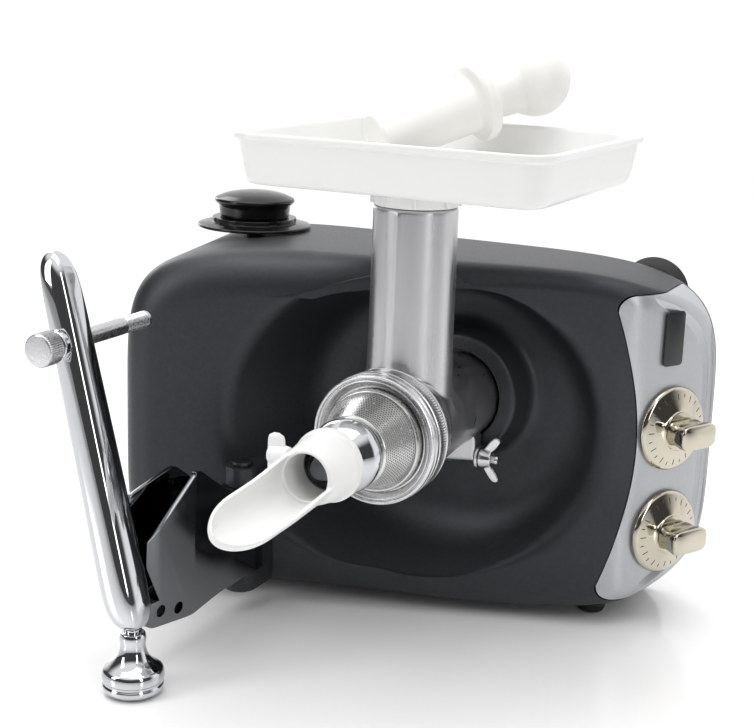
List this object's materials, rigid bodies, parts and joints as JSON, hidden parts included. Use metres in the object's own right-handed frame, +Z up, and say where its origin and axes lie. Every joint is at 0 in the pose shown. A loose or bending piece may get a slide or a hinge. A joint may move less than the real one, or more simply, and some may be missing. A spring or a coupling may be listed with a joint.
{
  "type": "electric meat grinder",
  "caption": "Electric meat grinder: tipped mixer motor unit with cast barrel, feed tray, pusher, sieve cone, outlet chute, folding chrome arm and two knobs.",
  "frame": {"origin": "middle of the bounding box in plan, on the surface the grinder stands on", "axes": "+X towards the control panel, -Y along the grinder axis towards the person using it, +Z up"},
  "size_m": [0.3922, 0.357, 0.356],
  "materials": {
    "paint": "fine textured satin charcoal",
    "silver_paint": "satin metallic silver",
    "badge_black": "gloss, blank",
    "black_plastic": "satin black",
    "rubber": "matt black",
    "steel": "machined",
    "nickel": "warm polished nickel",
    "circuit_board": "green laminate",
    "copper": "wound copper and steel",
    "nylon": "natural",
    "cast_aluminium": "dull polished casting",
    "chrome": "mirror polished",
    "white_plastic": "satin white"
  },
  "bodies": {
    "machine": {"upper_housing": "paint", "arm_hinge_post": "paint", "control_panel": "silver_paint", "badge_plate": "badge_black", "base_plate": "black_plastic", "power_inlet": "black_plastic", "speed_switch": "black_plastic", "timer_switch": "black_plastic", "lock_flange": "black_plastic", "suction_foot_1": "rubber", "suction_foot_2": "rubber", "suction_foot_3": "rubber", "suction_foot_4": "rubber", "rest_pad_left": "rubber", "rest_pad_right": "rubber", "base_screw_1": "steel", "base_screw_2": "steel", "base_screw_3": "steel", "base_screw_4": "steel", "spindle_bearing_front": "steel", "spindle_bearing_rear": "steel", "clamp_bolt": "steel", "clamp_washer": "steel", "sieve_cone": "steel", "arm_hinge_pin": "steel", "speed_skirt": "nickel", "timer_skirt": "nickel", "control_board": "circuit_board", "motor_stator": "copper", "auger_bushing": "nylon", "gear_frame": "cast_aluminium", "grinder_barrel": "cast_aluminium"},
    "drive": {"drive_gear": "nylon", "drive_spindle": "steel", "auger": "steel"},
    "rotor": {"motor_rotor": "steel"},
    "speed_control": {"speed_knob": "nickel"},
    "timer_control": {"timer_knob": "nickel"},
    "arm": {"arm_bracket": "chrome", "arm_lever": "chrome", "roller_collar": "chrome", "bracket_screw_1": "steel", "bracket_screw_2": "steel"},
    "arm_foot": {"arm_foot_knob": "chrome"},
    "roller": {"roller_pin": "steel", "roller_knob": "steel"},
    "ring": {"ring_nut": "cast_aluminium"},
    "collar": {"outlet_collar": "chrome"},
    "spout": {"outlet_spout": "white_plastic"},
    "wing_screw": {"spout_wing_screw": "white_plastic"},
    "clamp_nut": {"wing_nut": "steel"},
    "lock": {"lock_knob": "black_plastic"},
    "tray": {"hopper_tray": "white_plastic"},
    "pusher": {"pusher": "white_plastic"}
  },
  "joints": [
    {"name": "drive_spin", "type": "hinge", "parent": "machine", "child": "drive", "pos_m": [0.04194, 0.08355, 0.14], "axis": [0, -1, 0], "continuous": true},
    {"name": "motor_spin", "type": "hinge", "parent": "machine", "child": "rotor", "pos_m": [0.04194, 0.12855, 0.092], "axis": [1, 0, 0], "continuous": true},
    {"name": "speed_turn", "type": "hinge", "parent": "machine", "child": "speed_control", "pos_m": [0.16722, 0.12705, 0.127], "axis": [0.8742, -0.4856, 0], "range_deg": [-270, 0]},
    {"name": "timer_turn", "type": "hinge", "parent": "machine", "child": "timer_control", "pos_m": [0.16722, 0.12705, 0.06], "axis": [0.8742, -0.4856, 0], "range_deg": [-300, 0]},
    {"name": "arm_swing", "type": "hinge", "parent": "machine", "child": "arm", "pos_m": [-0.06706, 0.00555, 0.056], "axis": [0, 0, 1], "range_deg": [-35, 8]},
    {"name": "arm_foot_turn", "type": "hinge", "parent": "arm", "child": "arm_foot", "pos_m": [-0.06006, -0.12145, 0.02], "axis": [0, 0, 1], "continuous": true},
    {"name": "roller_turn", "type": "hinge", "parent": "arm", "child": "roller", "pos_m": [-0.10518, -0.11645, 0.192], "axis": [0, 1, 0], "continuous": true},
    {"name": "ring_turn", "type": "hinge", "parent": "machine", "child": "ring", "pos_m": [0.04194, -0.02645, 0.14], "axis": [0, 1, 0], "continuous": true},
    {"name": "collar_turn", "type": "hinge", "parent": "machine", "child": "collar", "pos_m": [0.04194, -0.07645, 0.14], "axis": [0, 1, 0], "continuous": true},
    {"name": "spout_turn", "type": "hinge", "parent": "collar", "child": "spout", "pos_m": [0.04194, -0.10145, 0.14], "axis": [0, 1, 0], "range_deg": [-30, 30]},
    {"name": "wing_screw_turn", "type": "hinge", "parent": "spout", "child": "wing_screw", "pos_m": [0.02194, -0.09945, 0.144], "axis": [1, 0, 0], "continuous": true},
    {"name": "wing_nut_turn", "type": "hinge", "parent": "machine", "child": "clamp_nut", "pos_m": [0.06794, 0.07255, 0.105], "axis": [1, 0, 0], "continuous": true},
    {"name": "lock_turn", "type": "hinge", "parent": "machine", "child": "lock", "pos_m": [-0.12606, 0.11755, 0.235], "axis": [0, 0, 1], "range_deg": [-90, 0]},
    {"name": "tray_lift", "type": "slide", "parent": "machine", "child": "tray", "axis": [0, 0, 1], "range_m": [0, 0.07]},
    {"name": "pusher_lift", "type": "slide", "parent": "tray", "child": "pusher", "axis": [0, 0, 1], "range_m": [0, 0.15]}
  ],
  "couplings": [
    {"joint": "motor_spin", "follows": "drive_spin", "ratio": 12}
  ]
}
